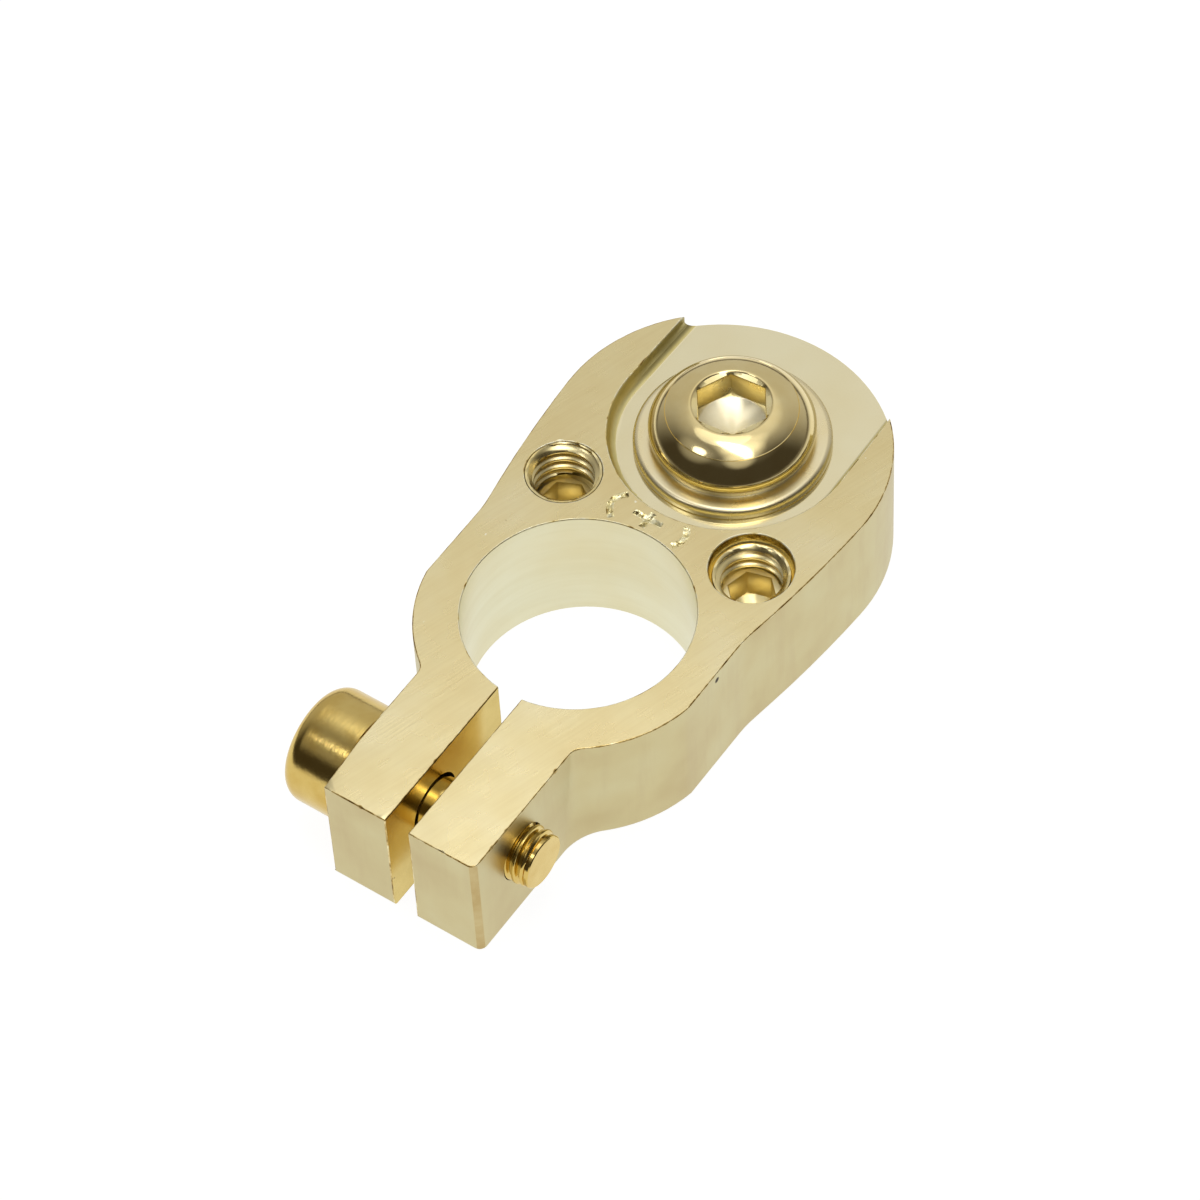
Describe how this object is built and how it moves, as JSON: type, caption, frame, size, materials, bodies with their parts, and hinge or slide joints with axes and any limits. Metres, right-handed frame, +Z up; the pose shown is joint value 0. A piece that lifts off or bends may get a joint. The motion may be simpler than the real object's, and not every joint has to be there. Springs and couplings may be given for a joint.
{
  "type": "battery terminal clamp",
  "caption": "Gold-plated brass clamp for a round battery post: split ring with a cross bolt, round head with a ring-terminal screw, and cable bores closed by set screws.",
  "frame": {"origin": "on the axis of the post bore, in the plane of the flat underside", "axes": "+X runs along the clamp from the post bore to the round head, +Y points to the side of the clamp bolt's head, +Z points up out of the top face"},
  "size_m": [0.0592, 0.0286, 0.0153],
  "materials": {
    "casting": "satin gold plating",
    "screws": "polished gold plating",
    "washer": "polished gold plating"
  },
  "bodies": {
    "body": {"clamp_body": "casting"},
    "bolt": {"clamp_bolt": "screws"},
    "washer": {"terminal_washer": "washer"},
    "screw": {"terminal_screw": "screws"},
    "left_set_screw": {"set_screw_left": "screws"},
    "right_set_screw": {"set_screw_right": "screws"}
  },
  "joints": [
    {"name": "clamp_bolt_travel", "type": "slide", "parent": "body", "child": "bolt", "axis": [0, 1, 0], "range_m": [0, 0.0064]},
    {"name": "terminal_washer_lift", "type": "slide", "parent": "body", "child": "washer", "axis": [0, 0, 1], "range_m": [0, 0.00501]},
    {"name": "terminal_screw_turn", "type": "hinge", "parent": "washer", "child": "screw", "pos_m": [0.02225, 0, 0.01185], "axis": [0, 0, 1], "range_deg": [0, 1440]},
    {"name": "left_set_screw_travel", "type": "slide", "parent": "body", "child": "left_set_screw", "axis": [0, 0, 1], "range_m": [-0.001, 0.006]},
    {"name": "right_set_screw_travel", "type": "slide", "parent": "body", "child": "right_set_screw", "axis": [0, 0, 1], "range_m": [-0.001, 0.005]}
  ],
  "couplings": [
    {"joint": "terminal_washer_lift", "follows": "terminal_screw_turn", "m_per_rad": 0.00019894}
  ]
}
